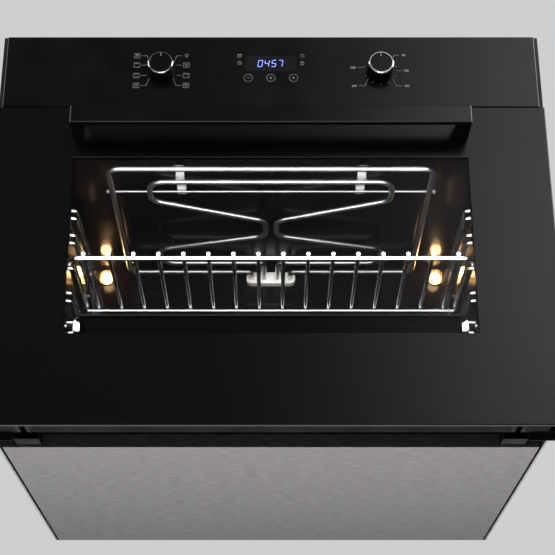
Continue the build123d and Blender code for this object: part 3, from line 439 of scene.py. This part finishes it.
def finish_frame():
    """Every CAD node takes its own finish where it has one, or the finish of its slot."""
    slots = {part["node"]: part["material_slot"] for part in frame["record"]["subparts"]}
    for name, part in NODES.items():
        part.data.materials.clear()
        part.data.materials.append(OWN_FINISHES.get(name) or FINISHES[slots[name]])


# ---------------------------------------------------------------- mesh helpers
def piece(name, bm, material, body):
    """Object from a bmesh, riding on a body."""
    mesh = bpy.data.meshes.new(name)
    bm.to_mesh(mesh)
    bm.free()
    made = bpy.data.objects.new(name, mesh)
    bpy.context.scene.collection.objects.link(made)
    mesh.materials.append(material)
    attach(made, body)


def flat_stroke(bm, points, width, y, thick=0.04 * MM, closed=False):
    """Printed line in the XZ plane through the points, facing the front, with mitred corners."""
    count = len(points)
    left, right = [], []
    for n, (x, z) in enumerate(points):
        before = points[n - 1] if n or closed else points[0]
        after = points[(n + 1) % count] if n < count - 1 or closed else points[-1]
        run = Vector((after[0] - before[0], after[1] - before[1]))
        run.normalize()
        side = Vector((-run.y, run.x)) * width / 2
        if 0 < n < count - 1 or closed:
            first = Vector((x - before[0], z - before[1])).normalized()
            side = side / max(0.5, first.dot(run))
        left.append((x + side.x, z + side.y))
        right.append((x - side.x, z - side.y))
    for n in range(count if closed else count - 1):
        m = (n + 1) % count
        corners = [left[n], left[m], right[m], right[n]]
        front = [bm.verts.new((x, y - thick, z)) for x, z in corners]
        back = [bm.verts.new((x, y, z)) for x, z in corners]
        bm.faces.new(front)
        for i in range(4):
            j = (i + 1) % 4
            bm.faces.new((front[j], front[i], back[i], back[j]))


def ring_points(cx, cz, radius, count=28, start=0.0, turn=360.0):
    """Points on an arc of turn degrees, clockwise from start, where 0 is up."""
    steps = count if turn >= 360 else count - 1
    return [(cx + radius * math.sin(math.radians(start + turn * n / steps)),
             cz + radius * math.cos(math.radians(start + turn * n / steps))) for n in range(count)]


def box_points(cx, cz, width, height):
    """The four corners of a box about a centre."""
    w, h = width / 2, height / 2
    return [(cx - w, cz - h), (cx + w, cz - h), (cx + w, cz + h), (cx - w, cz + h)]


def lettering(bm, text, height, cx, cz, y):
    """Plain figures, centred on a point of the panel."""
    curve = bpy.data.curves.new("figures", "FONT")
    curve.body = text
    curve.size = height * 1.4
    curve.align_x = "CENTER"
    curve.align_y = "CENTER"
    holder = bpy.data.objects.new("figures", curve)
    mesh = bpy.data.meshes.new_from_object(holder)
    added = bmesh.new()
    added.from_mesh(mesh)
    for face in added.faces:
        corners = [bm.verts.new((v.co.x + cx, y, v.co.y + cz)) for v in face.verts]
        bm.faces.new(corners)
    added.free()
    bpy.data.objects.remove(holder)
    bpy.data.curves.remove(curve)
    bpy.data.meshes.remove(mesh)


# ---------------------------------------------------------------- control panel print
LINE = 0.29 * MM
SIGN_LINE = LINE * 0.8
LEADER_LINE = LINE * 0.7
HAIR_LINE = LINE * 0.5
ICON = 6.2 * MM
ICON_COLUMN = 27.4 * MM
ICON_ROWS = (18.5 * MM, 6.4 * MM, -6.9 * MM, -19.6 * MM)
DIAL_RIM = 17.2 * MM

# Temperature figures and their places beside the dial's centre, in mm.
FIGURES = (("50", 24.8, 19.2), ("100", 27.0, -0.8), ("150", 27.0, -20.3), ("200", -27.7, -20.3),
           ("250", -28.7, 3.2))
FIGURE_HEIGHT = 2.6 * MM
TICKS = (35, 75, 115, 150, 180, 210, 245, 285, 325)
TICK_REACH = (17.4, 18.8)

KEY_PLACES = (-25 * MM, 0.0, 25 * MM)
KEY_R = 4.6 * MM
KEY_Z = KNOB_CENTRES["function"].z - 10 * MM

# Small signs beside the display: their column, the upper and the lower row.
SIGN_X = 34.7 * MM
SIGN_ROWS = (KNOB_CENTRES["function"].z + 18.2 * MM, KNOB_CENTRES["function"].z + 9.2 * MM)


def heater_bar(bm, x, z, level):
    """Straight heater line near the icon's top (1) or bottom (-1)."""
    reach = ICON * 0.28
    flat_stroke(bm, [(x - reach, z + level * reach), (x + reach, z + level * reach)], LEADER_LINE, PRINT_Y)


def grill_zigzag(bm, x, z):
    peaks = [(x + ICON * (-0.3 + 0.12 * n), z + ICON * (0.3 if n % 2 else 0.16)) for n in range(6)]
    flat_stroke(bm, peaks, HAIR_LINE, PRINT_Y)


def fan_sign(bm, x, z):
    for turn in range(0, 360, 90):
        tip = ring_points(x, z, ICON * 0.24, 2, turn, 50.0)
        flat_stroke(bm, [(x, z)] + tip, HAIR_LINE, PRINT_Y)


def lamp_sign(bm, x, z):
    cap, half_cap = z - 1.9 * MM, 0.7 * MM
    flat_stroke(bm, ring_points(x, z + 0.6 * MM, ICON * 0.26), SIGN_LINE, PRINT_Y, closed=True)
    flat_stroke(bm, [(x - half_cap, cap), (x + half_cap, cap)], LINE, PRINT_Y)


def function_icons(bm):
    """Eight mode signs in two columns beside the left knob, all but the lamp framed, with leaders."""
    centre = KNOB_CENTRES["function"]
    signs = ((lamp_sign,), (fan_sign,), (grill_zigzag,), (grill_zigzag, fan_sign),
             (fan_sign, heater_bar), (heater_bar,), (heater_bar, heater_bar), (heater_bar, fan_sign))
    for column, side in enumerate((1, -1)):
        for row, height in enumerate(ICON_ROWS):
            x, z = centre.x + side * ICON_COLUMN, centre.z + height
            drawn = signs[column * len(ICON_ROWS) + row]
            if lamp_sign not in drawn:
                flat_stroke(bm, box_points(x, z, ICON, ICON * 0.9), SIGN_LINE, PRINT_Y, closed=True)
            level = 1
            for sign in drawn:
                if sign is heater_bar:
                    heater_bar(bm, x, z, level)
                    level = -1
                else:
                    sign(bm, x, z)
            leader(bm, centre, x - side * ICON * 0.75, z, side)


def leader(bm, centre, x, z, side):
    """Line from a sign straight in, then aslant towards the knob's rim."""
    reach = Vector((x - centre.x, z - centre.z))
    elbow_x = centre.x + side * abs(reach.x) * 0.72
    angle = math.atan2(reach.x * 0.8, reach.y * 0.75)
    rim = (centre.x + DIAL_RIM * math.sin(angle), centre.z + DIAL_RIM * math.cos(angle))
    points = [(x, z), (elbow_x, z)]
    if abs(reach.y) > 10 * MM:
        points.append(rim)
    flat_stroke(bm, points, LEADER_LINE, PRINT_Y)


def temperature_figures(bm):
    """Figures with leaders and the ticks of the right dial, and the pointer mark above both dials."""
    centre = KNOB_CENTRES["temperature"]
    for text, dx, dz in FIGURES:
        side = 1 if dx > 0 else -1
        x, z = centre.x + dx * MM, centre.z + dz * MM
        lettering(bm, text, FIGURE_HEIGHT, x + side * 1.5 * MM, z, PRINT_Y)
        leader(bm, centre, x - side * 3.2 * MM, z, side)
    for angle in TICKS:
        near, far = (ring_points(centre.x, centre.z, reach * MM, 1, angle)[0] for reach in TICK_REACH)
        flat_stroke(bm, [near, far], LINE, PRINT_Y)
    for centre in KNOB_CENTRES.values():
        ends = [(centre.x, centre.z + 16.6 * MM), (centre.x, centre.z + 19.2 * MM)]
        flat_stroke(bm, ends, LINE * 1.6, PRINT_Y)


def touch_keys(bm):
    """Three ringed keys under the display: minus, list and plus."""
    z = KEY_Z
    arm = 1.4 * MM
    for n, x in enumerate(KEY_PLACES):
        flat_stroke(bm, ring_points(x, z, KEY_R, 40), SIGN_LINE, PRINT_Y, closed=True)
        if n != 1:
            flat_stroke(bm, [(x - arm, z), (x + arm, z)], LINE, PRINT_Y)
        if n == 2:
            flat_stroke(bm, [(x, z - arm), (x, z + arm)], LINE, PRINT_Y)
        if n == 1:
            for level in (-1, 0, 1):
                flat_stroke(bm, [(x - arm, z + level * MM), (x + arm, z + level * MM)], SIGN_LINE, PRINT_Y)


def side_signs(bm):
    """Four small signs beside the display: pot, clock, bell and lock."""
    x = SIGN_X
    top, low = SIGN_ROWS
    half = 2.6 * MM
    flat_stroke(bm, box_points(-x, top, 4 * MM, 2.6 * MM), SIGN_LINE, PRINT_Y, closed=True)
    flat_stroke(bm, [(-x - half, top + 2 * MM), (-x + half, top + 2 * MM)], SIGN_LINE, PRINT_Y)
    flat_stroke(bm, ring_points(-x, low, 2.1 * MM), SIGN_LINE, PRINT_Y, closed=True)
    flat_stroke(bm, [(-x, low + 1.4 * MM), (-x, low), (-x + 1.1 * MM, low)], SIGN_LINE, PRINT_Y)
    flat_stroke(bm, ring_points(x, top, 2.0 * MM, 14, -90.0, 180.0), SIGN_LINE, PRINT_Y)
    flat_stroke(bm, [(x - half, top - 1.2 * MM), (x + half, top - 1.2 * MM)], SIGN_LINE, PRINT_Y)
    flat_stroke(bm, box_points(x, low - 0.8 * MM, 3.6 * MM, 2.6 * MM), SIGN_LINE, PRINT_Y, closed=True)
    flat_stroke(bm, ring_points(x, low + 0.6 * MM, 1.2 * MM, 12, -90.0, 180.0), SIGN_LINE, PRINT_Y)


def panel_print():
    """All the pale print on the control panel, as one piece."""
    bm = bmesh.new()
    function_icons(bm)
    temperature_figures(bm)
    touch_keys(bm)
    side_signs(bm)
    # The print's material adds a painted glow to the pale ink.
    piece("panel_print", bm, INK_WITH_PAINTED_GLOW, "chassis")


# Bars of each figure that the clock shows: a, g and d from the top down, f and b above, e and c below.
SEGMENTS = {"0": "abcdef", "4": "fgbc", "5": "afgcd", "7": "abc"}
CLOCK_TIME = "0457"
CLOCK_Z = KNOB_CENTRES["function"].z + 8.6 * MM
CLOCK_LEFT = -14.6 * MM
HOURS_GAP = 0.4 * MM
DIGIT_WIDTH = 4.5 * MM
DIGIT_HEIGHT = 8.2 * MM
DIGIT_PITCH = 7.3 * MM
DIGIT_STROKE = 0.62 * MM
DIGIT_LEAN = 0.16
BAR_GAP = 0.35 * MM


def digit(bm, figure, x, z):
    """Slanted seven-bar figure with its lower left corner at x, z."""
    width, height = DIGIT_WIDTH, DIGIT_HEIGHT
    middle = height / 2
    bars = {"a": ((0, height), (width, height)), "g": ((0, middle), (width, middle)),
            "d": ((0, 0), (width, 0)), "f": ((0, middle), (0, height)),
            "b": ((width, middle), (width, height)), "e": ((0, 0), (0, middle)),
            "c": ((width, 0), (width, middle))}
    for bar in SEGMENTS[figure]:
        (x0, z0), (x1, z1) = bars[bar]
        run = Vector((x1 - x0, z1 - z0)).normalized() * BAR_GAP
        ends = [(x0 + run.x, z0 + run.y), (x1 - run.x, z1 - run.y)]
        flat_stroke(bm, [(x + px + DIGIT_LEAN * pz, z + pz) for px, pz in ends], DIGIT_STROKE, PRINT_Y)


def clock_display():
    """Dark filter with four lit figures, the last two a little apart."""
    half, height = 28 * MM, 19.4 * MM
    bm = bmesh.new()
    flat_stroke(bm, [(-half, CLOCK_Z), (half, CLOCK_Z)], height, PANEL_FRONT, 0.03 * MM)
    piece("display_filter", bm, FINISHES["display_black"], "chassis")
    bm = bmesh.new()
    for n, figure in enumerate(CLOCK_TIME):
        x = CLOCK_LEFT + n * DIGIT_PITCH + (HOURS_GAP if n > 1 else 0)
        digit(bm, figure, x, CLOCK_Z - 4.2 * MM)
    piece("display_figures", bm, DIGIT_GLOW, "chassis")


def knob_marks():
    """White line let into each knob's face."""
    face_y = KNOB_FRONT + 1.35 * MM
    for name, centre in KNOB_CENTRES.items():
        bm = bmesh.new()
        ends = [(centre.x, centre.z + 9.3 * MM), (centre.x, centre.z + 11.8 * MM)]
        flat_stroke(bm, ends, 0.7 * MM, face_y, 0.3 * MM)
        # The pointer's white paint carries the same painted glow as the panel print.
        piece(name + "_pointer", bm, INK_WITH_PAINTED_GLOW, name + "_dial")


def window_edge():
    """Faint line along the top of the door's window: a painted highlight standing in for the glass edge
    catching the light.
    """
    bm = bmesh.new()
    top = WINDOW_Z[1] + 0.3 * MM
    ends = [(DOOR_MID_X + side * (WINDOW_HALF + 0.6 * MM), top) for side in (-1, 1)]
    flat_stroke(bm, ends, 0.7 * MM, DOOR_LOW.y, 0.03 * MM)
    piece("window_edge_line", bm, PAINTED_EDGE_HIGHLIGHT, "door")


# ---------------------------------------------------------------- stage, lights and camera
def stage_floor():
    """Pale floor, below the camera, and seen through from underneath."""
    mesh = bpy.data.meshes.new("floor")
    half = 6.0
    level = -0.75
    mesh.from_pydata([(-half, -half, level), (half, -half, level), (half, half, level), (-half, half, level)],
                     [], [(0, 1, 2, 3)])
    floor = bpy.data.objects.new("floor", mesh)
    bpy.context.scene.collection.objects.link(floor)
    material, tree, shader = tree_of("pale_floor")
    marked(tree, shader, 3.0, 0.7, 0.85)
    set_plain(shader, Base_Color=(0.62, 0.62, 0.62, 1))
    faces = node(tree, "ShaderNodeNewGeometry")
    tree.links.new(spread(tree, faces.outputs["Backfacing"], 1.0, 0.0), shader.inputs["Alpha"])
    mesh.materials.append(material)


def softbox_board():
    """Large glowing board before the oven, bright at its right end, out of the camera's sight."""
    mesh = bpy.data.meshes.new("softbox")
    half, low, high = 1.5, 0.6, 2.7
    y = CAD_BOX[0].y - 2.6
    mesh.from_pydata([(-half, y, low), (-half, y, high), (half, y, high), (half, y, low)], [], [(0, 1, 2, 3)])
    board = bpy.data.objects.new("softbox", mesh)
    board.visible_camera = False
    bpy.context.scene.collection.objects.link(board)
    material = bpy.data.materials.new("softbox_glow")
    material.use_nodes = True
    tree = material.node_tree
    tree.nodes.clear()
    xyz = object_xyz(tree)
    ramp = node(tree, "ShaderNodeMapRange", interpolation_type="SMOOTHSTEP")
    tree.links.new(xyz[0], ramp.inputs[0])
    for socket, value in ((FROM_LOW, 0.0), (FROM_HIGH, 1.4), (TO_LOW, 0.11), (TO_HIGH, 3.6)):
        ramp.inputs[socket].default_value = value
    glow = node(tree, "ShaderNodeEmission")
    glow.inputs["Color"].default_value = (1.0, 0.94, 0.99, 1)
    out = node(tree, "ShaderNodeOutputMaterial")
    tree.links.new(ramp.outputs[0], glow.inputs["Strength"])
    tree.links.new(glow.outputs[0], out.inputs["Surface"])
    mesh.materials.append(material)


def area_light(name, place, target, size, power, seen_in_gloss=True, height=None):
    """White panel light of size metres, or size by height, aimed at a target; power in watts."""
    data = bpy.data.lights.new(name, "AREA")
    data.energy = power
    data.size = size
    if height:
        data.shape = "RECTANGLE"
        data.size_y = height
    light = bpy.data.objects.new(name, data)
    light.location = place
    light.rotation_euler = (Vector(target) - Vector(place)).to_track_quat("-Z", "Y").to_euler()
    light.visible_glossy = seen_in_gloss
    light.visible_camera = False
    bpy.context.scene.collection.objects.link(light)


def studio():
    """Soft lights around the oven and a pale backdrop, which lights the scene only faintly."""
    oven = (0, 0, 0.2)
    area_light("front_top", (-0.9, -2.2, 1.5), oven, size=1.2, power=24, seen_in_gloss=False)
    area_light("low_front", (0, -0.75, -0.4), (0, -0.2, 0.3), size=0.7, power=0.7, height=0.2)
    area_light("low_back", (0, 0.9, -0.54), (0, -0.3, 0), size=1.5, power=2.3, height=0.3)
    area_light("side_right", (2.3, -0.2, 1.3), oven, size=1.4, power=30)
    area_light("side_left", (-2.3, 0.0, 1.3), oven, size=1.4, power=12)
    area_light("back_top", (0.4, 2.0, 1.8), (0, 0.2, 0.2), size=1.4, power=15)
    world = bpy.data.worlds.new("studio")
    bpy.context.scene.world = world
    world.use_nodes = True
    tree = world.node_tree
    back = tree.nodes["Background"]
    rays = node(tree, "ShaderNodeLightPath")
    faint, seen = 0.06, 0.62
    tree.links.new(spread(tree, rays.outputs["Is Camera Ray"], faint, seen), back.inputs["Strength"])
    back.inputs["Color"].default_value = (1, 1, 1, 1)


def oven_lamps():
    """Warm light in front of each lamp cap."""
    low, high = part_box("lamp_domes")
    reach = high.x - 11 * MM
    for side in (-1, 1):
        data = bpy.data.lights.new("lamp_light", "POINT")
        data.energy = 0.13
        data.color = (1.0, 0.60, 0.26)
        data.shadow_soft_size = 7 * MM
        light = bpy.data.objects.new("lamp_light", data)
        light.location = (side * reach, low.y - 12 * MM, (low.z + high.z) / 2 - 2 * MM)
        bpy.context.scene.collection.objects.link(light)


def cavity_light():
    """Broad light just behind the door's inner pane for the bright wires, and one for the mount block."""
    low, high = FLOOR_HIGH.z + 50 * MM, FLOOR_HIGH.z + 259 * MM
    half = FLOOR_HIGH.x - 14 * MM
    front = FLOOR_LOW.y + 4 * MM
    middle = (low + high) / 2
    area_light("cavity_light", (0, front, middle), (0, front + 1, middle), size=2 * half, power=1.45,
               height=high - low)
    block_low, block_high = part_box("element_mount_block")
    aim = (block_low + block_high) / 2
    area_light("block_light", (aim.x, aim.y - 80 * MM, aim.z - 30 * MM), aim, size=60 * MM, power=0.09,
               seen_in_gloss=False, height=10 * MM)


def camera():
    """Camera before and below the oven, looking up at it."""
    data = bpy.data.cameras.new("camera")
    data.sensor_width = 36.0
    data.lens = 90.6
    data.shift_x = 0.0119
    made = bpy.data.objects.new("camera", data)
    ahead, below, pitch = 1317.1 * MM, 411.6 * MM, 23.5
    made.location = (0, DOOR_LOW.y - ahead, -below)
    made.rotation_euler = (math.radians(90 + pitch), 0, 0)
    bpy.context.scene.collection.objects.link(made)
    bpy.context.scene.camera = made


finish_frame()
panel_print()
clock_display()
knob_marks()
window_edge()
stage_floor()
softbox_board()
studio()
oven_lamps()
cavity_light()
camera()
bpy.context.scene.view_settings.view_transform = "Standard"
